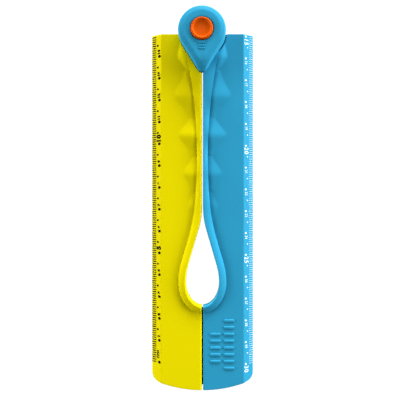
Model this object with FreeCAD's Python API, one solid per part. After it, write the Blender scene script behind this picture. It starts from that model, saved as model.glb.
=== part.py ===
import FreeCAD, Part
import math
import os
from FreeCAD import Vector

os.makedirs("parts", exist_ok=True)

# A folding 30 cm ruler, closed: two 15 cm halves side by side, joined by a push-button
# hinge at the top.  The origin is on the hinge axis, on the surface the ruler lies on.
# +X points to the blue half, +Y past the hinge, +Z up.  All sizes are in millimetres.

# --- the two halves -----------------------------------------------------------------
half_width = 23.3        # seam centre line to the thin scale edge
half_length = 162.85     # hinge axis to the lowest point of the rounded end
seam = 0.3               # half of the gap between the two halves
end_clear = 0.05         # each square end stops this far short of the hinge axis
plate_top = 3.4
edge_top = 1.0           # height of the thin scale edge
bevel_width = 4.45
end_radius = 57.0
corner_radius = 4.0

# --- the teardrop loop between the halves ---------------------------------------------
loop_half = 7.62         # widest half width of the opening
loop_mid = -113.75       # where it is widest
loop_depth = 10.5        # from there down to the bottom of the opening
loop_angle = math.radians(16.2)
loop_neck_radius = 38.0
loop_belly_radius = 30.0

# --- the raised bead and the finger waves --------------------------------------------
bead_top = 4.9
bead_width = 3.35        # width of the bead beside the loop
bead_width_below = 3.1   # and below it
bead_narrow = 2.45       # its foot's distance from the centre line where it is narrowest
bead_narrow_y = -56.0
bead_flare = 464.0       # square of the distance from there, over this, widens the bead
bead_head_y = -5.0       # the bead starts under the hinge head
bead_edge = 1.1
bead_inner_edge = 0.8
seam_edge = 0.5
sink = 0.1               # raised shapes start this far inside the plate
# each wave: crest, upper foot and lower foot along Y, the crest's reach from the seam
# and its rise above the plate
waves = [
    (-10.55, -1.5, -17.35, 11.2, 1.35),
    (-28.35, -17.35, -37.75, 12.9, 1.35),
    (-46.35, -37.75, -55.05, 11.0, 1.15),
    (-63.75, -55.05, -71.25, 8.9, 0.8),
    (-78.55, -71.25, -85.5, 7.0, 0.4),
]
wave_inset = 0.4         # a wave starts this far inside the bead's foot
wave_hollow = 0.09       # how far its outline bends in, as a share of its reach

# --- the raised bars on the lower end ---------------------------------------------------
grip_columns = [(9.9, 14.6, -131.0, 8), (3.6, 8.3, -137.2, 5)]   # X from, X to, first Y, count
grip_pitch = 3.1
grip_half = 0.6          # half of a bar's size along Y
grip_rise = 0.3
grip_round = 0.25

# --- the hinge -------------------------------------------------------------------------
knuckle_radius = 9.8     # yellow disc that the blue half turns around
knuckle_clear = 0.1
cutout_radius = 10.75    # the cut-out for it is wider than that above the ledge
ledge_top = 2.4
hub_radius = 6.5
hub_top = 4.8
running_clear = 0.05
deck_bottom = 3.6        # blue hinge deck, which turns on the yellow hub
deck_top = 4.7
housing_top = 6.0
head_radius = 10.5
tip_radius = 2.3
tip_distance = 15.5      # hinge axis to the centre of the head's rounded tip
cover_overhang = 0.2
cover_top = 9.75
border_width = 2.4       # the cover's sloping border
border_drop = 0.8
border_round = 1.2
mark_y = -7.6            # middle of the three raised bars on the cover
mark_pitch = 1.2
mark_half_x = 1.5
mark_half_y = 0.3
mark_rise = 0.2
wall = 1.5
lip_thick = 0.4          # lip under the cover that snaps into the housing
lip_low = 5.2
roof_under = 8.5
guide_radius = 6.9       # ring under the cover's roof that holds the button's flange down
guide_bottom = 7.6
button_radius = 4.95
button_top = 10.5
button_dish = 9.9        # lowest level of its hollow top
button_hollow = 14.0     # radius of the ball that shapes the hollow
button_round = 0.45
button_pocket = 9.4      # roof of the pocket that holds the return spring
pocket_radius = 4.0
button_hole = 5.15
flange_radius = 5.8
flange_bottom = 6.75
flange_top = 7.45
spring_turns = 4.5
spring_mean = 3.35
spring_wire = 0.22       # radius of its wire
plate_disc = 8.0         # radius of the detent plate and of the click spring
plate_hole = 1.3
plate_high = 5.3         # top of the detent plate
nub_ring = 7.0           # the click spring's nubs sit this far from the axis
nub_radius = 0.6
nub_bottom = 5.0
nub_hole = 0.75
click_inner = 5.9
click_low = 5.5
click_high = 5.7
post_y = -11.2           # the post that holds the click spring's tab
post_radius = 1.3
pin_radius = 0.7         # pin on top of the post
pin_top = 6.4
pin_hole = 0.75
boss_radius = 1.5        # boss under the cover that takes the pin
boss_low = 5.75
boss_hole_top = 6.6
tab_half = 1.5
tab_end = 1.6            # the spring's tab reaches this far past the post's centre
screw_radius = 1.25
screw_low = 1.2
screw_head = 2.6
screw_head_top = 6.6
screw_head_round = 0.5
screw_slot = 6.0         # floor of the cross in its head
washer_radius = 9.6
washer_clear = 0.02

# --- the black tongue in the seam ------------------------------------------------------
tongue_near = -125.3
tongue_far = -160.5
tongue_low = 1.0
tongue_high = 2.4
tongue_root = -1.4       # its hidden edge, in the yellow half
tongue_tip = 0.8         # its free edge, in the blue half's groove
groove_clear = 0.2
tongue_round = 0.3


def save(name, shape):
    shape.exportStep("parts/" + name + ".step")


def box(x0, x1, y0, y1, z0, z1):
    return Part.makeBox(x1 - x0, y1 - y0, z1 - z0, Vector(x0, y0, z0))


def cylinder(radius, z0, z1, x=0.0, y=0.0):
    return Part.makeCylinder(radius, z1 - z0, Vector(x, y, z0))


def tube(outer, inner, z0, z1):
    return cylinder(outer, z0, z1).cut(cylinder(inner, z0 - 1, z1 + 1))


def line(a, b):
    return Part.LineSegment(a, b).toShape()


def arc(centre, radius, start, end):
    """Circular edge about centre from one angle to another, in radians."""
    points = []
    for angle in (start, (start + end) / 2, end):
        points.append(centre + Vector(radius * math.cos(angle), radius * math.sin(angle), 0))
    return Part.Arc(*points).toShape()


def prism(edges, z0, z1):
    """Solid between two heights, over the outline that the edges close."""
    wire = Part.Wire(Part.__sortEdges__(edges))
    face = Part.Face(wire)
    face.translate(Vector(0, 0, z0))
    return face.extrude(Vector(0, 0, z1 - z0))


def mirrored(shape):
    return shape.mirror(Vector(0, 0, 0), Vector(1, 0, 0))


def polyhedron(faces):
    """Closed solid from lists of corner points."""
    skins = [Part.Face(Part.makePolygon(corners + corners[:1])) for corners in faces]
    return Part.Solid(Part.Shell(skins))


def top_edges(shape, level, keep):
    """Edges that lie at one height and pass the test."""
    found = []
    for edge in shape.Edges:
        box_of_edge = edge.BoundBox
        if abs(box_of_edge.ZMin - level) < 0.001 and abs(box_of_edge.ZMax - level) < 0.001:
            if keep(box_of_edge):
                found.append(edge)
    return found


# --- outlines ------------------------------------------------------------------------------

def foot_x(y):
    """Distance of the bead's foot from the centre line, above the loop."""
    return bead_narrow + (y - bead_narrow_y) ** 2 / bead_flare


def loop_side(offset):
    """Right side of the loop from its neck to its widest point, offset outwards."""
    neck = loop_neck_radius - offset
    belly = loop_belly_radius + offset
    turn = 1 - math.cos(loop_angle)
    both = loop_neck_radius + loop_belly_radius
    run = (loop_half - seam - both * turn) / math.sin(loop_angle)
    top = loop_mid + both * math.sin(loop_angle) + run * math.cos(loop_angle)
    neck_centre = Vector(seam + loop_neck_radius, top, 0)
    belly_centre = Vector(loop_half - loop_belly_radius, loop_mid, 0)
    neck_arc = arc(neck_centre, neck, math.pi, math.pi + loop_angle)
    belly_arc = arc(belly_centre, belly, loop_angle, 0)
    straight = line(neck_arc.Vertexes[-1].Point, belly_arc.Vertexes[0].Point)
    return top, neck_arc, straight, belly_arc


def loop_bottom(offset, low_offset):
    """Lower half of the loop: half an ellipse, offset outwards."""
    low = Vector(0, loop_mid - loop_depth - low_offset, 0)
    side = Vector(loop_half + offset, loop_mid, 0)
    ellipse = Part.Ellipse(low, side, Vector(0, loop_mid, 0))
    return Part.ArcOfEllipse(ellipse, -math.pi / 2, math.pi / 2).toShape()


def opening(z0, z1):
    """Everything that is open between the halves: the seam with the loop in it."""
    top, neck_arc, straight, belly_arc = loop_side(0)
    above = Vector(seam, 30, 0)
    right = [line(above, Vector(seam, top, 0)), neck_arc, straight, belly_arc]
    left = [mirrored(edge) for edge in right]
    lid = line(above, Vector(-seam, 30, 0))
    loop = prism(right + left + [lid, loop_bottom(0, 0)], z0, z1)
    return loop.fuse(box(-seam, seam, -half_length - 1, loop_mid, z0, z1)).removeSplitter()


def bead_band(z0, z1):
    """The area that the bead covers, both sides of the seam, as a solid."""
    _, _, _, belly_arc = loop_side(bead_width)
    end = belly_arc.Vertexes[0].Point
    stations = (bead_head_y, -20.5, -36.0, bead_narrow_y, -79.5)
    points = [Vector(foot_x(y), y, 0) for y in stations] + [end]
    foot = Part.BSplineCurve()
    foot.interpolate(Points=points)
    right = [foot.toShape(), belly_arc]
    left = [mirrored(edge) for edge in right]
    head = line(points[0], Vector(-points[0].x, points[0].y, 0))
    return prism(right + left + [head, loop_bottom(bead_width, bead_width_below)], z0, z1)


def teardrop(inset):
    """Edges of the hinge head's outline: a circle and a small tip, joined by tangents."""
    big = head_radius - inset
    small = tip_radius - inset
    slope = math.asin((big - small) / tip_distance)
    tip = Vector(0, -tip_distance, 0)
    big_arc = arc(Vector(0, 0, 0), big, -slope, math.pi + slope)
    tip_arc = arc(tip, small, math.pi + slope, 2 * math.pi - slope)
    right = line(tip_arc.Vertexes[-1].Point, big_arc.Vertexes[0].Point)
    left = line(big_arc.Vertexes[-1].Point, tip_arc.Vertexes[0].Point)
    return [big_arc, left, tip_arc, right]


# --- the halves ------------------------------------------------------------------------------

def blank():
    """Blue half's flat plate with its bevelled scale edge, before the loop is cut."""
    section = [
        Vector(0, 0, 0),
        Vector(half_width, 0, 0),
        Vector(half_width, 0, edge_top),
        Vector(half_width - bevel_width, 0, plate_top),
        Vector(0, 0, plate_top),
    ]
    bar = Part.Face(Part.makePolygon(section + section[:1]))
    bar = bar.extrude(Vector(0, -half_length - 1, 0))
    bar.translate(Vector(0, -end_clear, 0))
    centre_y = end_radius - half_length
    edge_x = half_width - corner_radius
    drop = math.sqrt((end_radius - corner_radius) ** 2 - edge_x**2)
    corner = Vector(edge_x, centre_y - drop, 0)
    join = math.atan2(corner.y - centre_y, corner.x)
    end_arc = arc(Vector(0, centre_y, 0), end_radius, -math.pi / 2, join)
    corner_arc = arc(corner, corner_radius, join, 0)
    outline = [
        end_arc,
        corner_arc,
        line(Vector(half_width, corner.y, 0), Vector(half_width, 1, 0)),
        line(Vector(half_width, 1, 0), Vector(0, 1, 0)),
        line(Vector(0, 1, 0), Vector(0, -half_length, 0)),
    ]
    return bar.common(prism(outline, -1, plate_top + 1))


def wave(crest, upper, lower, reach, rise):
    """One finger wave: a low ridge that falls away to a point, with hollow sides."""
    base = plate_top - sink
    peak = Vector(foot_x(crest) - wave_inset, crest, plate_top + rise)
    tip = Vector(reach, crest, base)
    rim = [tip]
    for foot in (upper, lower):
        inner = Vector(foot_x(foot) - wave_inset, foot, base)
        middle = (inner + tip) * 0.5
        middle.x -= wave_hollow * (tip.x - inner.x)
        rim = [inner, middle] + rim if foot == upper else rim + [middle, inner]
    sides = [[peak, a, b] for a, b in zip(rim, rim[1:])]
    return polyhedron(sides + [[peak, rim[-1], rim[0]], rim])


def bead():
    """The raised bead of the blue half, from the hinge head down around the loop."""
    band = bead_band(0, bead_top).cut(opening(-1, bead_top + 1))
    band = band.common(box(0, half_width, -half_length, bead_head_y, -1, bead_top + 1))
    foot = top_edges(band, bead_top, lambda b: b.XMax > 3 * bead_width and b.YLength > 1)
    band = band.makeFillet(bead_edge, foot)
    inner = top_edges(band, bead_top, lambda b: b.XMin < loop_half and b.YLength > 1
                      and b.XMax < loop_half + 0.1)
    return band.makeFillet(bead_inner_edge, inner)


def seam_bevel():
    """What the small bevel takes off the seam's top edge, below the loop."""
    start = loop_mid - loop_depth - bead_width_below
    corners = [
        Vector(seam - 0.1, start, plate_top + 0.1),
        Vector(seam + seam_edge + 0.1, start, plate_top + 0.1),
        Vector(seam - 0.1, start, plate_top - seam_edge - 0.1),
    ]
    face = Part.Face(Part.makePolygon(corners + corners[:1]))
    return face.extrude(Vector(0, -half_length, 0))


def raised_half():
    """Blue half's plate with its bead and waves, and the loop and seam cut out."""
    half = blank().cut(opening(-1, bead_top + 1)).fuse(bead())
    for numbers in waves:
        half = half.fuse(wave(*numbers))
    return half.cut(seam_bevel()).removeSplitter()


def grip_bars():
    """Low bars on the lower end of the blue half, in two columns."""
    bars = []
    high = plate_top + grip_rise
    for x0, x1, first, count in grip_columns:
        for i in range(count):
            y = first - grip_pitch * i
            bar = box(x0, x1, y - grip_half, y + grip_half, plate_top - sink, high)
            bars.append(bar.makeFillet(grip_round, top_edges(bar, high, lambda b: True)))
    return bars


def yellow_half():
    half = mirrored(raised_half())
    clear = prism(teardrop(-cover_overhang - 0.15), plate_top, bead_top + 1)
    half = half.cut(clear).fuse(cylinder(knuckle_radius, 0, plate_top))
    half = half.fuse(cylinder(hub_radius, plate_top - 0.5, hub_top))
    half = half.cut(cylinder(screw_radius, screw_low, hub_top + 1))
    groove = box(tongue_root, 0, tongue_far, tongue_near, tongue_low, tongue_high)
    return half.cut(groove).removeSplitter()


def blue_half():
    half = raised_half()
    for bar in grip_bars():
        half = half.fuse(bar)
    half = half.cut(cylinder(cutout_radius, ledge_top, plate_top + running_clear))
    half = half.cut(cylinder(knuckle_radius + knuckle_clear, -1, plate_top + running_clear))
    half = half.cut(cylinder(knuckle_radius - knuckle_clear, plate_top, deck_bottom))
    half = half.fuse(prism(teardrop(0), deck_bottom, housing_top))
    half = half.cut(prism(teardrop(wall), deck_top, housing_top + 1))
    half = half.cut(cylinder(hub_radius + running_clear, deck_bottom - 1, deck_top + 1))
    half = half.fuse(cylinder(post_radius, deck_top - sink, click_low, 0, post_y))
    half = half.fuse(cylinder(pin_radius, deck_top - sink, pin_top, 0, post_y))
    groove = box(
        0, tongue_tip + groove_clear,
        tongue_far - groove_clear, tongue_near + groove_clear,
        tongue_low - groove_clear, tongue_high + groove_clear,
    )
    return half.cut(groove).removeSplitter()


def seam_tongue():
    bar = box(tongue_root, tongue_tip, tongue_far, tongue_near, tongue_low, tongue_high)
    tip = [e for e in bar.Edges if e.BoundBox.XMin > tongue_tip - 0.01 and e.Length > 10]
    return bar.makeFillet(tongue_round, tip)


# --- the hinge's own pieces ---------------------------------------------------------------------

def head_cover():
    cover = prism(teardrop(-cover_overhang), housing_top, cover_top)
    rim = top_edges(cover, cover_top, lambda b: True)
    cover = cover.makeChamfer(border_drop, border_width, rim)
    shoulder = top_edges(cover, cover_top - border_drop, lambda b: True)
    cover = cover.makeFillet(border_round, shoulder)
    cover = cover.cut(prism(teardrop(wall), housing_top - 1, roof_under))
    lip = prism(teardrop(wall), lip_low, housing_top + 0.3)
    lip = lip.cut(prism(teardrop(wall + lip_thick), lip_low - 1, housing_top + 1))
    boss = cylinder(boss_radius, boss_low, roof_under + sink, 0, post_y)
    guide = cylinder(guide_radius, guide_bottom, roof_under + sink)
    cover = cover.fuse(lip).fuse(boss).fuse(guide)
    cover = cover.cut(cylinder(pin_hole, boss_low - 1, boss_hole_top, 0, post_y))
    cover = cover.cut(cylinder(button_hole, housing_top - 1, cover_top + 1))
    for i in (-1, 0, 1):
        low = mark_y + mark_pitch * i - mark_half_y
        high = low + 2 * mark_half_y
        top = cover_top + mark_rise
        cover = cover.fuse(box(-mark_half_x, mark_half_x, low, high, cover_top - 0.5, top))
    return cover.removeSplitter()


def button():
    cap = cylinder(button_radius, flange_bottom, button_top)
    cap = cap.makeFillet(button_round, top_edges(cap, button_top, lambda b: True))
    cap = cap.fuse(cylinder(flange_radius, flange_bottom, flange_top))
    ball = Vector(0, 0, button_dish + button_hollow)
    cap = cap.cut(Part.makeSphere(button_hollow, ball))
    return cap.cut(cylinder(pocket_radius, flange_bottom - 1, button_pocket)).removeSplitter()


def return_spring():
    low = plate_high + spring_wire
    high = button_pocket - spring_wire
    helix = Part.makeHelix((high - low) / spring_turns, high - low, spring_mean)
    helix.translate(Vector(0, 0, low))
    ring = Part.Circle(Vector(spring_mean, 0, low), Vector(0, 1, 0), spring_wire)
    section = Part.Wire([ring.toShape()])
    return Part.Wire(helix).makePipeShell([section], True, True)


def click_spring():
    ring = tube(plate_disc, click_inner, click_low, click_high)
    tab = box(-tab_half, tab_half, post_y - tab_end, 0, click_low, click_high)
    tab = tab.cut(cylinder(click_inner + sink, click_low - 1, click_high + 1))
    spring = ring.fuse(tab).cut(cylinder(pin_hole, click_low - 1, click_high + 1, 0, post_y))
    for side in (-1, 1):
        nub = cylinder(nub_radius, nub_bottom, click_low + sink, side * nub_ring, 0)
        spring = spring.fuse(nub)
    return spring.removeSplitter()


def detent_plate():
    plate = tube(plate_disc, plate_hole, hub_top, plate_high)
    for side in (-1, 1):
        plate = plate.cut(cylinder(nub_hole, hub_top - 1, plate_high + 1, side * nub_ring, 0))
    return plate


def hinge_screw():
    head = cylinder(screw_head, plate_high, screw_head_top)
    screw = cylinder(screw_radius, screw_low, plate_high + sink).fuse(head)
    screw = screw.makeFillet(screw_head_round, top_edges(screw, screw_head_top, lambda b: True))
    slot = box(-1.5, 1.5, -0.25, 0.25, screw_slot, screw_head_top + 1)
    cross = slot.copy()
    cross.rotate(Vector(0, 0, 0), Vector(0, 0, 1), 90)
    return screw.cut(slot).cut(cross).removeSplitter()


def glide_washer():
    return tube(washer_radius, hub_radius + sink, plate_top, deck_bottom - washer_clear)


save("yellow_half", yellow_half())
save("blue_half", blue_half())
save("seam_tongue", seam_tongue())
save("head_cover", head_cover())
save("button", button())
save("return_spring", return_spring())
save("click_spring", click_spring())
save("detent_plate", detent_plate())
save("hinge_screw", hinge_screw())
save("glide_washer", glide_washer())
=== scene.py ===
import math

import bmesh
import bpy
import numpy as np
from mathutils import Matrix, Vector
from mathutils.geometry import delaunay_2d_cdt


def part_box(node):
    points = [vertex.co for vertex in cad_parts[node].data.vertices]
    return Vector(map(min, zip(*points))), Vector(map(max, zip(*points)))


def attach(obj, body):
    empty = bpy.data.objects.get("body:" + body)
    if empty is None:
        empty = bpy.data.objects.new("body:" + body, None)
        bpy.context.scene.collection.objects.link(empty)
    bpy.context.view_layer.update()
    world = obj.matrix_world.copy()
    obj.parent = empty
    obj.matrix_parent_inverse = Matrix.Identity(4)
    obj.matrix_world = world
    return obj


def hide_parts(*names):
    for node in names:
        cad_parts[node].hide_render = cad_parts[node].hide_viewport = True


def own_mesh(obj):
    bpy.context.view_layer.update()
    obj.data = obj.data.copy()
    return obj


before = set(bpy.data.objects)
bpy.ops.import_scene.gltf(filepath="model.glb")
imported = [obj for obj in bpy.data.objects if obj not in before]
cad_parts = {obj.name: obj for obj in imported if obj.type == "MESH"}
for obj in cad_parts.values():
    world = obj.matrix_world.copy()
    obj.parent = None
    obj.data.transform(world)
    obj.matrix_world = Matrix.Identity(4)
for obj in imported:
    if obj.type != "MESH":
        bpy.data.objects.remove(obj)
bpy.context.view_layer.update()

# The looks of a folding ruler, closed, around its CAD frame.  Its sizes are in millimetres and
# become metres where a mesh is made.  The studio around it is in metres.
MM = 0.001

# --- sizes taken from the frame -------------------------------------------------------------------
blue_low, blue_high = (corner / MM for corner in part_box("blue_half"))
half_width = blue_high.x
half_length = -blue_low.y
housing_radius = -blue_low.x
knuckle_radius = (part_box("yellow_half")[1] / MM).x

# --- sizes that the frame's boxes don't give ------------------------------------------------------
seam = 0.3
end_clear = 0.05
plate_top = 3.4
edge_top = 1.0
bevel_width = 4.45
bevel_slope = (plate_top - edge_top) / bevel_width
bevel_blend = 0.03
end_radius = 57.0
corner_radius = 4.0
base_ease = 0.12
rim_ease = 0.1

# the hanging loop: an elliptical bottom, a belly arc, a straight flank and a neck arc
loop_half = 7.62
loop_mid = -113.75
loop_depth = 10.5
loop_angle = math.radians(16.2)
neck_radius = 38.0
belly_radius = 30.0

# the raised bead: it is narrowest at bead_narrow_y, and away from there its foot moves out by the
# square of the distance over bead_flare.  A low wall at its foot takes bead_step of its height.
# The crease beside it goes from its first depth to its second between two places along Y.
bead_top = 4.9
bead_width = 3.35
bead_width_below = 3.1
bead_narrow = 2.45
bead_narrow_y = -56.0
bead_flare = 464.0
bead_start = -5.0
foot_join = -79.5
bead_wall = 0.05
bead_step = 0.27
bead_power = 1.9
crease_fade = (-95, -75)
crease_depth = (0.18, 0.36)
crease_width = 2.2

# the finger waves: crest, upper end and lower end along Y, reach across, rise.  wave_fall and
# wave_hollow shape their flanks along Y, and wave_across shapes them across.
waves = [
    (-10.55, -1.5, -17.35, 11.2, 1.4),
    (-28.35, -17.35, -37.75, 12.9, 1.4),
    (-46.35, -37.75, -55.05, 11.0, 1.2),
    (-63.75, -55.05, -71.25, 8.9, 0.8),
    (-78.55, -71.25, -85.5, 7.0, 0.35),
]
crest_soft = 0.2
wave_fall = 0.72
wave_hollow = 1.5
wave_across = 1.15
wave_blend = 0.05

# rounded edges, each as (width, drop)
seam_round = (0.9, 0.45)
bead_round = (0.4, 0.35)
edge_round = (0.16, 0.14)

# the mesh: how far from each line the rows of points beside it lie, the steps between points,
# the corners of the fine grid, and how far both grids keep from the lines
edge_rings = (0.05, 0.11, 0.2)
seam_rings = (0.05, 0.14, 0.28, 0.46, 0.68, 0.9, 1.3)
bead_rings = (0.04, 0.1, 0.2, 0.34, 0.6, 0.95)
foot_rings = (0.05, 0.14, 0.3, 0.55, 0.9)
crease_rings = (-0.05, -0.14, -0.3, -0.55, -0.9, -1.3)
bevel_rings = (-0.3, -0.12, 0.12, 0.3)
line_step = 0.5
edge_step = 0.8
bevel_step = 1.2
coarse_step = 1.7
fine_corner = (0.6, -0.6)
fine_reach = (14, -90)
coarse_corner = (-10.5, 10.5)
fine_gap = 1.1
coarse_foot_gap = 1.9
coarse_inner_gap = 1.6
coarse_bevel_gap = 0.9
rim_gap = 0.035
sharp_angle = math.radians(38)

# the hinge head and what turns in it.  The steps are half the width of the steep edges where the
# blue plate is cut away round the knuckle and where the yellow one is flat under the head.
head_clear = 0.31
cutout_radius = 11.15
cutout_step = 0.03
head_step = 0.04
ledge_radius = 9.9
ledge_top = 2.4
deck_bottom = 3.6
deck_top = 4.7
housing_top = 6.0
hub_radius = 6.5
hub_bottom = 3.0
hub_top = 4.8
hub_ease = 0.15
screw_hole = 1.25
bore_radius = 6.55
tip_radius = 2.3
tip_distance = 15.5
wall = 1.5
post_profile = [(1.3, 4.5), (1.3, 5.5), (0.7, 5.5), (0.7, 6.3), (0.6, 6.4)]
post_y = -11.2

# the lid: (inset, height) up its border, (share of the way to the hole, height) over its top,
# (distance outside the hole, drop) at the hole's lip, and the marks on it
lid_overhang = 0.2
lid_bottom = housing_top + 0.02
lid_under = 8.5
guide_radius = 6.9
guide_bottom = 7.6
button_hole = 5.28
lid_top = 9.75
lid_border = [
    (0.0, 8.0), (0.005, 8.2), (0.04, 8.4), (0.12, 8.61), (0.24, 8.8), (0.4, 8.97), (0.6, 9.12),
    (0.82, 9.22), (1.2, 9.35), (1.7, 9.52), (2.05, 9.63), (2.25, 9.685), (2.45, 9.72),
]
lid_dish = [(0.06, 9.74), (0.15, 9.745), (0.4, 9.74), (0.7, 9.72), (0.95, 9.7)]
hole_lip = [(0.03, 0.04), (0.0, 0.15)]
tip_fall_start = 12.0
tip_fall = 0.045
mark_y = -7.6
mark_pitch = 1.2
mark_half = (1.5, 0.3)
mark_rise = 0.17
mark_sunk = 0.3
mark_ease = 0.12

# the button as (radius, height), from the middle of its top out, down and back inside, and its
# spring, whose first and last parts (a share of its length) lie flat
button_profile = [
    (0.001, 9.79), (1.2, 9.81), (2.3, 9.87), (3.2, 9.97), (3.62, 10.04), (3.78, 10.1),
    (3.9, 10.21), (4.02, 10.33), (4.16, 10.43), (4.34, 10.5), (4.52, 10.47), (4.68, 10.38),
    (4.81, 10.23), (4.9, 10.05), (4.94, 9.87), (4.95, 9.57), (4.95, 7.45), (5.7, 7.45),
    (5.8, 7.35), (5.8, 6.85), (5.7, 6.75), (4.0, 6.75), (4.0, 9.4), (0.001, 9.4),
]
spring_mean = 3.35
spring_wire = 0.22
spring_low = 5.3
spring_high = 9.38
spring_turns = 5.0
spring_flat = 0.08

# the groove for the tongue, whose black is partly painted shade deep in the seam, and the bars: (x,
# first y, how many) for each row
groove_low = (0, -160.7, 0.8)
groove_high = (1.0, -125.1, 2.6)
grip_rows = ((12.25, -131.0, 8), (5.95, -137.2, 5))
grip_pitch = 3.1
grip_half = (2.35, 0.6)
grip_rise = 0.3
grip_sunk = 0.2
grip_ease = 0.22

# the printed scales: ticks, dots, numbers and the "cm" are placed from the ruler's outer edge,
# and gaps are along Y, from a number's dot or from zero
print_low = -0.03
print_high = 0.02
tick_near = 0.06
tick_length = 1.85
dot_small = 2.62
dot_large = 3.38
letter_space = 1.15
big_letters = 2.6
big_gap = 2.3
small_letters = 1.5
small_gap = 1.9
yellow_zero = -150.1
yellow_numbers = 3.4
yellow_stretch = 1.3
yellow_big_weight = 0.07
yellow_small_weight = 0.1
unit_letters = 2.2
unit_edge = 2.8
unit_gap = 3.1
unit_weight = 0.045
blue_zero = -1.0
blue_numbers = 3.2
blue_weight = 0.01
blue_stretch = 1.12

# the studio: metres, degrees and watts, and each light as (bearing, power)
ruler_middle = (0, -0.075, 0)
light_elevation = 11.3
light_distance = 2.6
light_size = (2.4, 0.6)
lights = {"right": (10, 150), "top": (77, 186), "left": (170, 117)}
world_light = 0.35
floor_half = 8.0
floor_drop = 0.00002
floor_share = 0.2
camera_place = (0.00669, -0.07586, 0.19)
camera_sensor = 36
camera_lens = 36.77
camera_shift = -0.0425


# --- outlines, on the blue half's side (x > 0) ----------------------------------------------------

def arc_points(cx, cy, radius, start, end, count):
    """Points on a circle from one angle to another, in radians, both ends included."""
    angles = np.linspace(start, end, count)
    return np.column_stack([cx + radius * np.cos(angles), cy + radius * np.sin(angles)])


def straight(a, b, step):
    """Points from a to b, both ends included, about step apart."""
    a, b = np.array(a, float), np.array(b, float)
    count = max(2, int(math.ceil(np.linalg.norm(b - a) / step)) + 1)
    return a + np.linspace(0, 1, count)[:, None] * (b - a)


def chain(*runs):
    """One polyline from runs that meet end to end."""
    kept = [runs[0]]
    for run in runs[1:]:
        kept.append(run[1:])
    return np.vstack(kept)


def loop_frame():
    """Where the loop starts along Y, and where its neck and belly arcs are centred along X."""
    turn = 1 - math.cos(loop_angle)
    both = neck_radius + belly_radius
    run = (loop_half - seam - both * turn) / math.sin(loop_angle)
    top = loop_mid + both * math.sin(loop_angle) + run * math.cos(loop_angle)
    neck_x = seam + neck_radius
    belly_x = loop_half - belly_radius
    return top, neck_x, belly_x


def inner_edge(step):
    """The seam and the loop, from the hinge axis down to the bottom of the loop."""
    top, neck_x, belly_x = loop_frame()
    neck = arc_points(neck_x, top, neck_radius, math.pi, math.pi + loop_angle, 24)
    belly = arc_points(belly_x, loop_mid, belly_radius, loop_angle, 0, 20)
    angles = np.linspace(0, math.acos(seam / loop_half), 60)
    bottom = np.column_stack(
        [loop_half * np.cos(angles), loop_mid - loop_depth * np.sin(angles)]
    )
    flank = straight(neck[-1], belly[0], step)
    return chain(straight((seam, -end_clear), (seam, top), step), neck, flank, belly, bottom)


def foot_x(y):
    """How far out the bead's foot is, beside the upper seam."""
    return bead_narrow + (y - bead_narrow_y) ** 2 / bead_flare


def foot_edge(step):
    """The bead's foot, from under the hinge head down around the loop.

    A cubic joins the curve beside the upper seam to the arc beside the loop.
    """
    _, _, belly_x = loop_frame()
    reach = belly_radius + bead_width
    upper_y = np.arange(bead_start, foot_join, -step)
    upper = np.column_stack([foot_x(upper_y), upper_y])
    belly = arc_points(belly_x, loop_mid, reach, loop_angle, 0, 20)
    start = np.array([foot_x(foot_join), foot_join])
    span = start[1] - belly[0][1]
    t = np.linspace(0, 1, 40)
    slope_in = -2 * (foot_join - bead_narrow_y) / bead_flare
    slope_out = math.tan(loop_angle)
    x = (
        (2 * t**3 - 3 * t**2 + 1) * start[0]
        + (t**3 - 2 * t**2 + t) * span * slope_in
        + (3 * t**2 - 2 * t**3) * belly[0][0]
        + (t**3 - t**2) * span * slope_out
    )
    middle = np.column_stack([x, start[1] - t * span])
    wide = loop_half + bead_width
    angles = np.linspace(0, math.acos(seam / wide), 60)
    deep = loop_depth + bead_width_below
    bottom = np.column_stack([wide * np.cos(angles), loop_mid - deep * np.sin(angles)])
    return chain(np.vstack([upper, middle[:1]]), middle, belly, bottom)


def outer_edge(step):
    """From the bottom of the seam, round the end and up the scale edge to the square end."""
    centre_y = end_radius - half_length
    edge_x = half_width - corner_radius
    drop = math.sqrt((end_radius - corner_radius) ** 2 - edge_x**2)
    corner_y = centre_y - drop
    join = math.atan2(-drop, edge_x)
    low = -math.acos(seam / end_radius)
    end_arc = arc_points(0, centre_y, end_radius, low, join, 40)
    corner_arc = arc_points(edge_x, corner_y, corner_radius, join, 0, 14)
    side = straight((half_width, corner_y), (half_width, -end_clear), step)
    return end_arc, corner_arc, side


def distances(points, line):
    """Distance from each point to a polyline."""
    best = np.full(len(points), np.inf)
    for a, b in zip(line[:-1], line[1:]):
        d = b - a
        t = np.clip(((points - a) @ d) / max(d @ d, 1e-12), 0, 1)
        best = np.minimum(best, np.linalg.norm(points - a - t[:, None] * d, axis=1))
    return best


def inside(points, ring):
    """Which points lie in a closed polygon."""
    x, y = points[:, 0], points[:, 1]
    odd = np.zeros(len(points), bool)
    for (x0, y0), (x1, y1) in zip(ring, np.roll(ring, -1, axis=0)):
        if y0 == y1:
            continue
        crosses = (y0 > y) != (y1 > y)
        odd ^= crosses & (x < x0 + (y - y0) * (x1 - x0) / (y1 - y0))
    return odd


# --- materials ------------------------------------------------------------------------------------

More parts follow.
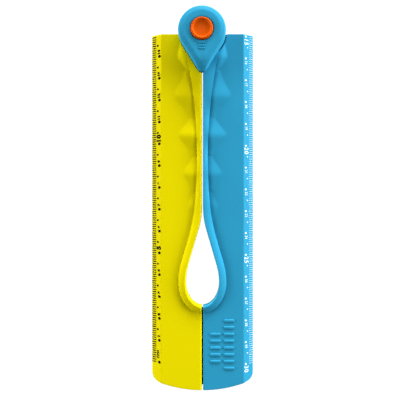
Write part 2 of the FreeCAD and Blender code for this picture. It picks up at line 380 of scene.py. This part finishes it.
def plastic(name, colour, roughness, specular, grain):
    """Moulded plastic: a little colour drift, uneven gloss, fine grain, and edges worn paler."""
    material = bpy.data.materials.new(name)
    material.use_nodes = True
    tree = material.node_tree
    nodes, links = tree.nodes, tree.links
    shader = nodes["Principled BSDF"]
    shader.inputs["Specular IOR Level"].default_value = specular
    coords = nodes.new("ShaderNodeTexCoord")

    drift = nodes.new("ShaderNodeTexNoise")
    drift.inputs["Scale"].default_value = 40
    drift.inputs["Detail"].default_value = 3
    links.new(coords.outputs["Object"], drift.inputs["Vector"])
    tint = nodes.new("ShaderNodeValToRGB")
    tint.color_ramp.elements[0].position = 0.3
    tint.color_ramp.elements[1].position = 0.7
    tint.color_ramp.elements[0].color = (*[c * 0.955 for c in colour], 1)
    tint.color_ramp.elements[1].color = (*colour, 1)
    links.new(drift.outputs["Fac"], tint.inputs["Fac"])

    geometry = nodes.new("ShaderNodeNewGeometry")
    worn = nodes.new("ShaderNodeMapRange")
    worn.inputs["From Min"].default_value = 0.51
    worn.inputs["From Max"].default_value = 0.6
    worn.inputs["To Max"].default_value = 0.22
    links.new(geometry.outputs["Pointiness"], worn.inputs["Value"])
    edge = nodes.new("ShaderNodeMix")
    edge.data_type = "RGBA"
    edge.inputs["B"].default_value = (*[min(1, c * 1.15 + 0.02) for c in colour], 1)
    links.new(worn.outputs["Result"], edge.inputs["Factor"])
    links.new(tint.outputs["Color"], edge.inputs["A"])
    links.new(edge.outputs["Result"], shader.inputs["Base Color"])

    handled = nodes.new("ShaderNodeTexNoise")
    handled.inputs["Scale"].default_value = 130
    handled.inputs["Detail"].default_value = 4
    links.new(coords.outputs["Object"], handled.inputs["Vector"])
    rough = nodes.new("ShaderNodeMapRange")
    rough.inputs["To Min"].default_value = roughness - 0.05
    rough.inputs["To Max"].default_value = roughness + 0.07
    links.new(handled.outputs["Fac"], rough.inputs["Value"])
    links.new(rough.outputs["Result"], shader.inputs["Roughness"])

    fine = nodes.new("ShaderNodeTexNoise")
    fine.inputs["Scale"].default_value = 2600
    fine.inputs["Detail"].default_value = 2
    links.new(coords.outputs["Object"], fine.inputs["Vector"])
    bump = nodes.new("ShaderNodeBump")
    bump.inputs["Strength"].default_value = grain
    bump.inputs["Distance"].default_value = 0.00006
    links.new(fine.outputs["Fac"], bump.inputs["Height"])
    links.new(bump.outputs["Normal"], shader.inputs["Normal"])
    return material


def metal(name, colour, roughness, stretch):
    """Sheet or turned steel: fine lines one way, and uneven roughness."""
    material = bpy.data.materials.new(name)
    material.use_nodes = True
    nodes, links = material.node_tree.nodes, material.node_tree.links
    shader = nodes["Principled BSDF"]
    shader.inputs["Metallic"].default_value = 1
    coords = nodes.new("ShaderNodeTexCoord")
    mapping = nodes.new("ShaderNodeMapping")
    mapping.inputs["Scale"].default_value = stretch
    links.new(coords.outputs["Object"], mapping.inputs["Vector"])
    lines = nodes.new("ShaderNodeTexNoise")
    lines.inputs["Scale"].default_value = 900
    lines.inputs["Detail"].default_value = 5
    links.new(mapping.outputs["Vector"], lines.inputs["Vector"])
    tint = nodes.new("ShaderNodeValToRGB")
    tint.color_ramp.elements[0].color = (*[c * 0.75 for c in colour], 1)
    tint.color_ramp.elements[1].color = (*colour, 1)
    links.new(lines.outputs["Fac"], tint.inputs["Fac"])
    links.new(tint.outputs["Color"], shader.inputs["Base Color"])
    rough = nodes.new("ShaderNodeMapRange")
    rough.inputs["To Min"].default_value = roughness - 0.08
    rough.inputs["To Max"].default_value = roughness + 0.12
    links.new(lines.outputs["Fac"], rough.inputs["Value"])
    links.new(rough.outputs["Result"], shader.inputs["Roughness"])
    bump = nodes.new("ShaderNodeBump")
    bump.inputs["Strength"].default_value = 0.25
    bump.inputs["Distance"].default_value = 0.00003
    links.new(lines.outputs["Fac"], bump.inputs["Height"])
    links.new(bump.outputs["Normal"], shader.inputs["Normal"])
    return material


yellow = plastic("yellow_moulding", (0.565, 0.489, 0.0), 0.52, 0.012, 0.3)
blue = plastic("blue_moulding", (0.019, 0.232, 0.39), 0.48, 0.035, 0.3)
orange = plastic("orange_moulding", (0.52, 0.068, 0.001), 0.45, 0.015, 0.25)
# the seam tongue is a real part; its black is also painted shade for the dark line deep in the seam
black = plastic("black_moulding_and_seam_shade", (0.003, 0.003, 0.005), 0.6, 0.06, 0.5)
white = plastic("white_nylon", (0.75, 0.75, 0.71), 0.5, 0.4, 0.3)
black_ink = plastic("black_ink", (0.002, 0.002, 0.002), 0.7, 0.006, 0.2)
white_ink = plastic("white_ink", (0.62, 0.66, 0.7), 0.6, 0.03, 0.2)
spring_steel = metal("spring_steel", (0.52, 0.52, 0.54), 0.3, (1, 1, 6))
zinc_plate = metal("zinc_plate", (0.62, 0.61, 0.58), 0.35, (1, 5, 1))

node_materials = {
    "yellow_half": yellow,
    "blue_half": blue,
    "head_cover": blue,
    "button": orange,
    "seam_tongue": black,
    "glide_washer": white,
    "return_spring": spring_steel,
    "click_spring": spring_steel,
    "detent_plate": zinc_plate,
    "hinge_screw": zinc_plate,
}
for node, material in node_materials.items():
    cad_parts[node].data.materials.clear()
    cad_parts[node].data.materials.append(material)


# --- building meshes ------------------------------------------------------------------------------

def piece(name, points, faces, material, body, slot, stands_for=()):
    """A mesh object from points in millimetres, riding on a body."""
    mesh = bpy.data.meshes.new(name)
    mesh.from_pydata((np.asarray(points, float) * MM).tolist(), [], faces)
    bm = bmesh.new()
    bm.from_mesh(mesh)
    bmesh.ops.remove_doubles(bm, verts=bm.verts, dist=2e-7)
    bmesh.ops.dissolve_degenerate(bm, edges=bm.edges, dist=1e-8)
    bmesh.ops.recalc_face_normals(bm, faces=bm.faces)
    bm.to_mesh(mesh)
    bm.free()
    mesh.shade_smooth()
    mesh.set_sharp_from_angle(angle=sharp_angle)
    mesh.materials.append(material)
    made = bpy.data.objects.new(name, mesh)
    bpy.context.scene.collection.objects.link(made)
    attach(made, body)
    if stands_for:
        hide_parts(*stands_for)
    return made


def joined(shells):
    """One list of points and faces from several."""
    points, faces = [], []
    for some_points, some_faces in shells:
        start = len(points)
        points.extend(list(map(tuple, some_points)))
        faces.extend([tuple(start + i for i in face) for face in some_faces])
    return points, faces


def at_level(outline, level):
    """A flat outline's points with their height added."""
    return np.column_stack([outline, np.full(len(outline), level)])


def loft(rings, closed=False):
    """Skin over rings of the same number of points; the ends are capped unless closed."""
    count = len(rings[0])
    points = [tuple(p) for ring in rings for p in ring]
    faces = []
    pairs = list(zip(range(len(rings)), range(1, len(rings))))
    if closed:
        pairs.append((len(rings) - 1, 0))
    for a, b in pairs:
        for i in range(count):
            j = (i + 1) % count
            faces.append((a * count + i, a * count + j, b * count + j, b * count + i))
    if not closed:
        faces.append(tuple(range(count)))
        faces.append(tuple(range((len(rings) - 1) * count, len(rings) * count)))
    return points, faces


def lathe(profile, count, y=0.0, closed=False):
    """Profile of (radius, height) turned about an upright axis on the centre line."""
    rings = []
    for radius, height in profile:
        circle = arc_points(0, y, radius, 0, 2 * math.pi, count + 1)[:-1]
        rings.append(at_level(circle, height))
    return loft(rings, closed)


def offset_points(line, amounts):
    """Points beside a polyline, on its left, dropped where the offset folds over."""
    ahead = np.gradient(line, axis=0)
    ahead /= np.maximum(np.linalg.norm(ahead, axis=1), 1e-9)[:, None]
    left = np.column_stack([-ahead[:, 1], ahead[:, 0]])
    found = []
    for amount in amounts:
        moved = line + left * amount
        found.append(moved[distances(moved, line) > abs(amount) * 0.8])
    return np.vstack(found)


def resample(line, step):
    """Evenly spaced points along a polyline, ends kept."""
    lengths = np.concatenate([[0], np.cumsum(np.linalg.norm(np.diff(line, axis=0), axis=1))])
    count = max(2, int(round(lengths[-1] / step)) + 1)
    along = np.linspace(0, lengths[-1], count)
    return np.column_stack([np.interp(along, lengths, line[:, k]) for k in (0, 1)])


# --- the top surface of the two halves ------------------------------------------------------------

def rounding(distance, width, depth):
    """How far a rounded edge has dropped, this far in from the edge."""
    t = np.clip(1 - distance / width, 0, 1)
    return depth * (1 - np.sqrt(1 - t**2))


def soft_positive(value, blend):
    """The value where it is positive, and 0 elsewhere, with the corner between them blended."""
    return np.where(
        value > blend, value, np.where(value < -blend, 0, (value + blend) ** 2 / (4 * blend))
    )


def wave_share(y, crest, upper, lower):
    """0 on the crest of a wave and 1 at its two ends."""
    v = np.where(y > crest, (y - crest) / (upper - crest), (crest - y) / (crest - lower))
    return (np.sqrt(v**2 + crest_soft**2) - crest_soft) / (math.hypot(1, crest_soft) - crest_soft)


def wave_height(x, y, on_foot=False):
    """Height of the finger waves above the plate; on_foot takes it at the bead's foot instead."""
    height = np.zeros_like(y)
    for crest, upper, lower, reach, rise in waves:
        v = wave_share(y, crest, upper, lower)
        u = (x - foot_x(y)) / (reach - foot_x(crest))
        u = np.zeros_like(u) if on_foot else np.clip(u, 0, None)
        fall = np.where(v < 1, 1 - np.clip(1 - v, 0, 1) ** wave_hollow, 2 * v - 1)
        share = soft_positive(1 - wave_fall * fall - u**wave_across, wave_blend)
        height = np.maximum(height, rise * share)
    return height


seam_end = np.array([seam, -math.sqrt(end_radius**2 - seam**2) + end_radius - half_length])
inner = inner_edge(line_step)
foot = foot_edge(line_step)
seam_low = straight(inner[-1], seam_end, line_step)
rounded_end, rounded_corner, scale_side = outer_edge(edge_step)
bevel_x = half_width - bevel_width
band_ring = np.vstack([inner, foot[::-1]])


def surface(points, outer, cleared, level):
    """Height of the moulded top at points on the blue half's side.

    Where cleared says so, the top is flat at a level of its own, to make room for the hinge.
    """
    x, y = points[:, 0], points[:, 1]
    plate = plate_top - soft_positive((x - bevel_x) * bevel_slope, bevel_blend)
    plain = plate + wave_height(x, y)
    in_band = inside(points, band_ring) & (x > seam)
    to_inner = distances(points, inner)
    to_foot = distances(points, foot)
    base = plate_top + wave_height(x, y, on_foot=True)
    width = np.maximum(to_inner + to_foot, 0.01)
    wall_part = np.clip(to_foot / bead_wall, 0, 1)
    slope_part = 1 - (1 - np.clip(to_foot / width, 0, 1)) ** bead_power
    lift = bead_step * wall_part + (1 - bead_step) * slope_part
    deepest = np.interp(y, crease_fade, crease_depth)
    crease = deepest * np.clip(1 - to_foot / crease_width, 0, 1) ** 2
    raised = base - deepest * (1 - wall_part) + (bead_top - base) * lift
    z = np.where(in_band, raised, plain - crease)
    is_cleared = cleared(points)
    z = np.where(is_cleared, level, z)
    z -= rounding(distances(points, seam_low), *seam_round)
    z -= np.where(is_cleared, 0, rounding(to_inner, *bead_round))
    z -= rounding(distances(points, outer), *edge_round)
    return z


def grid(start, end, step):
    """Points on a square grid, rightwards and downwards from a corner."""
    gx, gy = np.meshgrid(np.arange(start[0], end[0], step), np.arange(start[1], end[1], -step))
    return np.column_stack([gx.ravel(), gy.ravel()])


def spread_points(outer):
    """Points to mesh through: rows beside each line, a fine grid on the waves, a coarse one."""
    points = [
        offset_points(outer, edge_rings),
        offset_points(seam_low, seam_rings),
        offset_points(resample(inner, line_step), bead_rings),
        offset_points(foot, foot_rings),
        offset_points(foot, crease_rings),
    ]
    bevel_y = np.arange(-bevel_step, -half_length + 2, -bevel_step)
    for x in bevel_rings:
        points.append(np.column_stack([np.full(len(bevel_y), bevel_x + x), bevel_y]))

    fine = grid(fine_corner, fine_reach, line_step)
    off_lines = (distances(fine, foot) > fine_gap) & (distances(fine, inner) > fine_gap)
    points.append(fine[off_lines])

    coarse = grid(coarse_corner, (half_width, -half_length), coarse_step)
    x, y = coarse[:, 0], coarse[:, 1]
    off_lines = distances(coarse, foot) > coarse_foot_gap
    off_lines &= distances(coarse, inner) > coarse_inner_gap
    off_lines &= np.abs(x - bevel_x) > coarse_bevel_gap
    beyond = (x > fine_reach[0]) | (y < fine_reach[1]) | (y > fine_corner[1]) | (x < fine_corner[0])
    points.append(coarse[beyond & off_lines])
    return np.vstack(points)


def open_rim(faces):
    """The points of a mesh's open edge, in order."""
    used = {}
    for face in faces:
        for a, b in zip(face, list(face[1:]) + [face[0]]):
            key = (min(a, b), max(a, b))
            used[key] = None if key in used else (a, b)
    following = {pair[0]: pair[1] for pair in used.values() if pair}
    start = next(iter(following))
    rim = [start]
    while following[rim[-1]] != start:
        rim.append(following[rim[-1]])
    return rim


def moulded_plate(ring, outer, lines, cleared, level, flip):
    """Closed skin over an outline: modelled top, upright sides, eased lower edge, flat base.

    Its top is meshed through the given lines.  A flip of -1 makes it the yellow half's.
    """
    free = spread_points(outer)
    free = free[inside(free, ring)]
    free = free[distances(free, ring) > rim_gap]
    coords = [Vector(p) for p in ring.tolist()]
    edges = [(i, (i + 1) % len(ring)) for i in range(len(ring))]
    for line in lines:
        start = len(coords)
        coords.extend(Vector(p) for p in line.tolist())
        edges.extend((start + i, start + i + 1) for i in range(len(line) - 1))
    coords.extend(Vector(p) for p in free.tolist())
    flat, _, faces, *_ = delaunay_2d_cdt(coords, edges, [], 1, 1e-3)
    flat = np.array([tuple(p) for p in flat])
    top = np.column_stack([flat, surface(flat, outer, cleared, level)])

    rim = open_rim(faces)
    count = len(rim)
    rim_flat = flat[rim]
    ahead = np.roll(rim_flat, -1, axis=0) - np.roll(rim_flat, 1, axis=0)
    ahead /= np.maximum(np.linalg.norm(ahead, axis=1), 1e-9)[:, None]
    left = np.column_stack([-ahead[:, 1], ahead[:, 0]])
    base = rim_flat + left * base_ease
    rings = [top[rim], at_level(rim_flat, base_ease), at_level(base, 0.0)]
    side_points, side_faces = loft(rings)
    base_coords = [Vector(p) for p in base.tolist()]
    base_edges = [(i, (i + 1) % count) for i in range(count)]
    under, _, base_faces, *_ = delaunay_2d_cdt(base_coords, base_edges, [], 1, 1e-4)

    points, faces = joined([
        (top, faces),
        (side_points, side_faces[:-2]),
        ([(p.x, p.y, 0) for p in under], base_faces),
    ])
    points = np.array(points)
    points[:, 0] *= flip
    return points, faces


# --- the two halves -------------------------------------------------------------------------------

def teardrop_ring(inset):
    """The hinge head's outline, moved inwards by inset: a big arc, a side, the tip, a side."""
    big = housing_radius - inset
    small = tip_radius - inset
    slope = math.asin((housing_radius - tip_radius) / tip_distance)
    around = arc_points(0, 0, big, -slope, math.pi + slope, 120)
    end = arc_points(0, -tip_distance, small, math.pi + slope, 2 * math.pi - slope, 24)
    t = np.linspace(0, 1, 24)[1:-1, None]
    left = around[-1] + t * (end[0] - around[-1])
    right = end[-1] + t * (around[0] - end[-1])
    return np.vstack([around, left, end, right])


def plate_outline(radius, turns, count):
    """A plate's outer edge and its whole outline, with a circle about the hinge axis.

    The circle cuts the corner out of the plate with 0 turns, and adds a knuckle with 1.
    """
    low = -math.sqrt(radius**2 - seam**2)
    right = math.sqrt(radius**2 - end_clear**2)
    end_angle = math.atan2(low, seam) + 2 * math.pi * turns
    around = arc_points(0, 0, radius, math.atan2(-end_clear, right), end_angle, count)
    square = straight((half_width, -end_clear), (right, -end_clear), edge_step)
    outer = chain(rounded_end, rounded_corner, scale_side, square, around)
    kept = inner[inner[:, 1] < low - 0.2]
    return outer, np.vstack([[[seam, low]], kept, seam_low[1:], outer[1:-1]])


def bevel_line():
    """Where the flat top meets the bevelled scale strip."""
    return straight((bevel_x, -0.3), (bevel_x, -half_length + 4.0), bevel_step)


def blue_plate():
    """The blue half's plate, cut back to a low ledge round the yellow half's knuckle."""
    outer, ring = plate_outline(ledge_radius, 0, 40)
    off_cutout = np.linalg.norm(foot, axis=1) > cutout_radius + 0.05
    lines = [foot[off_cutout & (foot[:, 0] > seam + 0.03)], bevel_line()]
    for radius in (cutout_radius - cutout_step, cutout_radius + cutout_step):
        lines.append(arc_points(0, 0, radius, -0.02, 0.045 - math.pi / 2, 60))

    def cleared(points):
        return np.linalg.norm(points, axis=1) < cutout_radius

    return moulded_plate(ring, outer, lines, cleared, ledge_top, 1)


def yellow_plate():
    """The yellow half's plate and knuckle, flat under the hinge head."""
    outer, ring = plate_outline(knuckle_radius, 1, 110)
    outside_head = teardrop_ring(-head_clear - head_step)
    under_head = teardrop_ring(-head_clear)
    lines = []
    for near in (outside_head, teardrop_ring(-head_clear + head_step)):
        near = near[(near[:, 0] > seam + 0.05) & (near[:, 1] < -end_clear - 0.02)]
        lines.append(near[np.argsort(-near[:, 1])])
    lines.append(foot[~inside(foot, outside_head) & (foot[:, 0] > seam + 0.03)])
    lines.append(bevel_line())

    def cleared(points):
        return inside(points, under_head) | (points[:, 0] < seam - 0.01)

    return moulded_plate(ring, outer, lines, cleared, plate_top, -1)


def cut_box(made, low, high):
    """Take a box, given by two corners in millimetres, out of a piece."""
    corners = [(x, y, z) for x in (low[0], high[0]) for y in (low[1], high[1])
               for z in (low[2], high[2])]
    faces = [(0, 1, 3, 2), (4, 6, 7, 5), (0, 4, 5, 1), (2, 3, 7, 6), (0, 2, 6, 4), (1, 5, 7, 3)]
    mesh = bpy.data.meshes.new("cutter")
    mesh.from_pydata([tuple(c * MM for c in corner) for corner in corners], [], faces)
    cutter = bpy.data.objects.new("cutter", mesh)
    bpy.context.scene.collection.objects.link(cutter)
    cut = made.modifiers.new("cut", "BOOLEAN")
    cut.object = cutter
    cut.solver = "EXACT"
    ready = made.evaluated_get(bpy.context.evaluated_depsgraph_get())
    result = bpy.data.meshes.new_from_object(ready)
    made.modifiers.clear()
    made.data = result
    bpy.data.objects.remove(cutter)
    bpy.data.meshes.remove(mesh)


blue_shell = piece("blue_shell", *blue_plate(), blue, "blue_arm", "blue_plastic", ["blue_half"])
cut_box(blue_shell, groove_low, groove_high)
piece("yellow_shell", *yellow_plate(), yellow, "yellow_arm", "yellow_plastic", ["yellow_half"])


# --- the hinge ------------------------------------------------------------------------------------

def radial_ring(radius, like):
    """Circle about the hinge axis whose points face those of another outline."""
    angles = np.arctan2(like[:, 1], like[:, 0])
    return radius * np.column_stack([np.cos(angles), np.sin(angles)])


def head_lid():
    """Snap-on lid of the hinge head: wall, rounded border, nearly flat top, hole, guide ring.

    Its top falls away a little towards the tip.
    """
    rings = [at_level(teardrop_ring(rim_ease - lid_overhang), lid_bottom)]
    rings.append(at_level(teardrop_ring(-lid_overhang), lid_bottom + rim_ease))
    for inset, level in lid_border:
        rings.append(at_level(teardrop_ring(inset - lid_overhang), level))
    last = rings[-1][:, :2]
    hole = radial_ring(button_hole, last)
    for share, level in lid_dish:
        rings.append(at_level(last + share * (hole - last), level))
    for outside, drop in hole_lip:
        rings.append(at_level(radial_ring(button_hole + outside, last), lid_dish[-1][1] - drop))
    rings.append(at_level(hole, guide_bottom))
    rings.append(at_level(radial_ring(guide_radius, last), guide_bottom))
    rings.append(at_level(radial_ring(guide_radius, last), lid_under))
    rings.append(at_level(teardrop_ring(wall), lid_under))
    rings.append(at_level(teardrop_ring(wall), lid_bottom))
    for ring in rings[2:-6]:
        past = np.clip(-tip_fall_start - ring[:, 1], 0, None)
        share = (ring[:, 2] - lid_border[0][1]) / (lid_top - lid_border[0][1])
        ring[:, 2] -= tip_fall * past**2 * share
    return loft(rings, closed=True)


def head_mark():
    """Three short raised bars on the lid."""
    low, high = lid_top - mark_sunk, lid_top + mark_rise
    return joined([
        bar_shell(0, mark_y + mark_pitch * i, *mark_half, low, high, mark_ease)
        for i in (-1, 0, 1)
    ])


def bar_shell(x, y, half_x, half_y, low, high, ease):
    """Bar with rounded corners and an eased top edge."""
    outline = []
    radius = min(half_x, half_y) * 0.9
    corners = [(1, 1, 0), (-1, 1, 90), (-1, -1, 180), (1, -1, 270)]
    for sx, sy, start in corners:
        centre = (sx * (half_x - radius), sy * (half_y - radius))
        angles = (math.radians(start), math.radians(start + 90))
        outline.append(arc_points(*centre, radius, *angles, 7))
    outline = np.vstack(outline)
    rings = [at_level(outline + (x, y), low)]
    for t in (0, 0.25, 0.5, 0.75, 1.0):
        a = t * math.pi / 2
        shrink = ease * (1 - math.cos(a))
        smaller = np.array([(half_x - shrink) / half_x, (half_y - shrink) / half_y])
        rings.append(at_level(outline * smaller + (x, y), high - ease + ease * math.sin(a)))
    return loft(rings)


def housing():
    """Lower shell of the hinge head: deck, wall, round bore, and the click spring's post."""
    outer = teardrop_ring(0)
    cavity = teardrop_ring(wall)
    bore = radial_ring(bore_radius, outer)
    rings = [
        at_level(teardrop_ring(base_ease), deck_bottom),
        at_level(outer, deck_bottom + base_ease),
        at_level(outer, housing_top - rim_ease),
        at_level(teardrop_ring(rim_ease), housing_top),
        at_level(teardrop_ring(wall - rim_ease), housing_top),
        at_level(cavity, housing_top - rim_ease),
        at_level(cavity, deck_top),
        at_level(bore, deck_top),
        at_level(bore, deck_bottom),
    ]
    post = lathe(post_profile, 40, post_y)
    return joined([loft(rings, closed=True), post])


def hub():
    """The yellow half's hub, a ring that the blue half turns on."""
    profile = [
        (screw_hole, hub_bottom), (hub_radius, hub_bottom), (hub_radius, hub_top - hub_ease),
        (hub_radius - hub_ease, hub_top), (screw_hole, hub_top),
    ]
    return lathe(profile, 96, closed=True)


def push_button():
    """Orange button: dished top, rounded rim, flange, and a pocket for its spring."""
    return lathe(button_profile, 128)


def coil_spring():
    """Compression spring: a helix whose end turns lie flat."""
    per_turn, around = 48, 10
    count = int(spring_turns * per_turn)
    t = np.linspace(0, 1, count)
    angle = t * spring_turns * 2 * math.pi
    climb = np.clip((t - spring_flat) / (1 - 2 * spring_flat), 0, 1)
    level = spring_low + spring_wire + (spring_high - spring_low - 2 * spring_wire) * climb
    centre = np.column_stack([spring_mean * np.cos(angle), spring_mean * np.sin(angle), level])
    ahead = np.gradient(centre, axis=0)
    ahead /= np.linalg.norm(ahead, axis=1)[:, None]
    out = np.column_stack([np.cos(angle), np.sin(angle), np.zeros(count)])
    up = np.cross(ahead, out)
    a = np.linspace(0, 2 * math.pi, around + 1)[:-1, None]
    circles = [
        middle + spring_wire * (np.cos(a) * outwards + np.sin(a) * upwards)
        for middle, outwards, upwards in zip(centre, out, up)
    ]
    return loft(circles)


def grip_bars():
    """Rows of raised bars on the lower end of the blue half."""
    low, high = plate_top - grip_sunk, plate_top + grip_rise
    bars = []
    for x, first, count in grip_rows:
        for i in range(count):
            bars.append(bar_shell(x, first - grip_pitch * i, *grip_half, low, high, grip_ease))
    return joined(bars)


piece("head_lid", *head_lid(), blue, "blue_arm", "blue_plastic", ["head_cover"])
piece("head_bars", *head_mark(), blue, "blue_arm", "blue_plastic")
piece("hinge_housing", *housing(), blue, "blue_arm", "blue_plastic")
piece("grip_bars", *grip_bars(), blue, "blue_arm", "blue_plastic")
piece("hinge_hub", *hub(), yellow, "yellow_arm", "yellow_plastic")
piece("push_button", *push_button(), orange, "button", "orange_plastic", ["button"])
spring = piece(
    "button_spring", *coil_spring(), spring_steel, "blue_arm", "spring_steel", ["return_spring"]
)
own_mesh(spring)


# --- the printed scales ---------------------------------------------------------------------------

def scale_level(x):
    """Height of the bevelled scale strip at a distance from the centre line."""
    return np.minimum(plate_top, edge_top + (half_width - x) * bevel_slope)


def on_scale(outline):
    """A printed mark: a thin closed slab that lies on the scale strip."""
    outline = np.asarray(outline, float)
    low = at_level(outline, 0)
    high = low.copy()
    low[:, 2] = scale_level(outline[:, 0]) + print_low
    high[:, 2] = scale_level(outline[:, 0]) + print_high
    return loft([low, high])


def tick(y, near, far, width):
    """One tick across the strip."""
    low, high = y - width / 2, y + width / 2
    return on_scale([(near, low), (far, low), (far, high), (near, high)])


def dot(x, y, radius):
    """One round dot."""
    return on_scale(arc_points(x, y, radius, 0, 2 * math.pi, 17)[:-1])


def numeral(text, size, centre, turn, weight, stretch=1.0):
    """Text as a thin slab on the scale strip, turned about its centre.

    It is given a thickness only so that its top can be told from its bottom.
    """
    curve = bpy.data.curves.new("numeral", "FONT")
    curve.body = text
    curve.size = size
    curve.align_x = "CENTER"
    curve.align_y = "CENTER"
    curve.extrude = 0.5
    curve.offset = weight * size
    curve.space_character = letter_space
    curve.resolution_u = 4
    holder = bpy.data.objects.new("numeral", curve)
    mesh = bpy.data.meshes.new_from_object(holder)
    points = np.array([tuple(v.co) for v in mesh.vertices])
    faces = [tuple(p.vertices) for p in mesh.polygons]
    c, sn = math.cos(turn), math.sin(turn)
    points[:, 0] *= stretch
    x = centre[0] + c * points[:, 0] - sn * points[:, 1]
    y = centre[1] + sn * points[:, 0] + c * points[:, 1]
    z = scale_level(np.abs(x)) + np.where(points[:, 2] > 0, print_high, print_low)
    bpy.data.objects.remove(holder)
    bpy.data.curves.remove(curve)
    bpy.data.meshes.remove(mesh)
    return np.column_stack([x, y, z]), faces


def mirror_x(shell):
    """The same shell on the other side of the centre line."""
    points, faces = shell
    points = np.array([tuple(p) for p in points])
    points[:, 0] *= -1
    return points, faces


def scale(marks, first, zero, along, tick_width, large_dot, small_dot, inwards):
    """One scale's ticks and dots, and each of its numbers as (text, place along Y, big)."""
    near = half_width - tick_length - inwards
    far = half_width - tick_near
    shells = []
    texts = []
    for mm in range(marks + 1):
        y = zero + along * mm
        if mm % 10 == 0:
            shells.append(dot(half_width - dot_large - inwards, y, large_dot))
            number = first + mm // 10
            big = number % 5 == 0
            if number:
                texts.append((str(number), y + along * (big_gap if big else small_gap), big))
        elif mm % 5 == 0:
            shells.append(dot(half_width - dot_small - inwards, y, small_dot))
        shells.append(tick(y, near, far, tick_width))
    return shells, texts


def yellow_scale():
    """Black ticks, dots and numbers from 0 up to 15 cm, on the yellow half."""
    shells, texts = scale(
        marks=149, first=0, zero=yellow_zero, along=1,
        tick_width=0.48, large_dot=0.68, small_dot=0.48, inwards=0.2,
    )
    shells = [mirror_x(shell) for shell in shells]
    for text, y, big in texts:
        size = big_letters if big else small_letters
        weight = yellow_big_weight if big else yellow_small_weight
        centre = (yellow_numbers - half_width, y)
        shells.append(numeral(text, size, centre, math.pi / 2, weight, yellow_stretch))
    centre = (unit_edge - half_width, yellow_zero + unit_gap)
    shells.append(numeral("cm", unit_letters, centre, math.pi / 2, unit_weight))
    return joined(shells)


def blue_scale():
    """White ticks, dots and numbers from 15 to 30 cm, on the blue half."""
    shells, texts = scale(
        marks=150, first=15, zero=blue_zero, along=-1,
        tick_width=0.11, large_dot=0.42, small_dot=0.26, inwards=0.0,
    )
    for text, y, big in texts:
        size = big_letters if big else small_letters
        stretch = blue_stretch if big else 1.0
        centre = (half_width - blue_numbers, y)
        shells.append(numeral(text, size, centre, -math.pi / 2, blue_weight, stretch))
    return joined(shells)


piece("yellow_scale", *yellow_scale(), black_ink, "yellow_arm", "black_plastic")
piece("blue_scale", *blue_scale(), white_ink, "blue_arm", "white_plastic")


# --- floor, light and camera ----------------------------------------------------------------------

def stage_floor():
    """Pale floor, seen from above only, that glows less for the ruler than for the camera."""
    data = bpy.data.meshes.new("floor")
    sides = [(-1, -1), (1, -1), (1, 1), (-1, 1)]
    corners = [(x * floor_half, y * floor_half, -floor_drop) for x, y in sides]
    data.from_pydata(corners, [], [(0, 1, 2, 3)])
    floor = bpy.data.objects.new("floor", data)
    bpy.context.scene.collection.objects.link(floor)
    material = bpy.data.materials.new("pale_floor")
    material.use_nodes = True
    nodes, links = material.node_tree.nodes, material.node_tree.links
    shader = nodes["Principled BSDF"]
    shader.inputs["Base Color"].default_value = (0.1, 0.1, 0.1, 1)
    shader.inputs["Emission Color"].default_value = (1, 1, 1, 1)
    ray = nodes.new("ShaderNodeLightPath")
    glow = nodes.new("ShaderNodeMapRange")
    glow.inputs["To Min"].default_value = floor_share
    links.new(ray.outputs["Is Camera Ray"], glow.inputs["Value"])
    links.new(glow.outputs["Result"], shader.inputs["Emission Strength"])
    shader.inputs["Roughness"].default_value = 0.9
    clear = nodes.new("ShaderNodeBsdfTransparent")
    side = nodes.new("ShaderNodeNewGeometry")
    either = nodes.new("ShaderNodeMixShader")
    links.new(side.outputs["Backfacing"], either.inputs[0])
    links.new(shader.outputs[0], either.inputs[1])
    links.new(clear.outputs[0], either.inputs[2])
    links.new(either.outputs[0], nodes["Material Output"].inputs["Surface"])
    data.materials.append(material)


def area_light(name, bearing, power):
    """A soft box at a bearing from the middle of the ruler, facing it."""
    middle = Vector(ruler_middle)
    flat = math.cos(math.radians(light_elevation)) * light_distance
    place = middle + Vector((
        flat * math.cos(math.radians(bearing)),
        flat * math.sin(math.radians(bearing)),
        math.sin(math.radians(light_elevation)) * light_distance,
    ))
    data = bpy.data.lights.new(name, "AREA")
    data.shape = "RECTANGLE"
    data.size, data.size_y = light_size
    data.energy = power
    light = bpy.data.objects.new(name, data)
    light.location = place
    light.rotation_euler = (middle - place).to_track_quat("-Z", "Y").to_euler()
    light.visible_camera = False
    bpy.context.scene.collection.objects.link(light)


def light_and_camera():
    """Three soft boxes, a plain world, and a camera above the ruler."""
    for name, (bearing, power) in lights.items():
        area_light(name, bearing, power)
    world = bpy.data.worlds.new("studio")
    world.use_nodes = True
    background = world.node_tree.nodes["Background"]
    background.inputs["Color"].default_value = (1, 1, 1, 1)
    background.inputs["Strength"].default_value = world_light
    bpy.context.scene.world = world
    bpy.context.scene.view_settings.view_transform = "Standard"

    data = bpy.data.cameras.new("camera")
    data.sensor_width = camera_sensor
    data.lens = camera_lens
    data.shift_x = camera_shift
    camera = bpy.data.objects.new("camera", data)
    camera.location = camera_place
    bpy.context.scene.collection.objects.link(camera)
    bpy.context.scene.camera = camera


stage_floor()
light_and_camera()
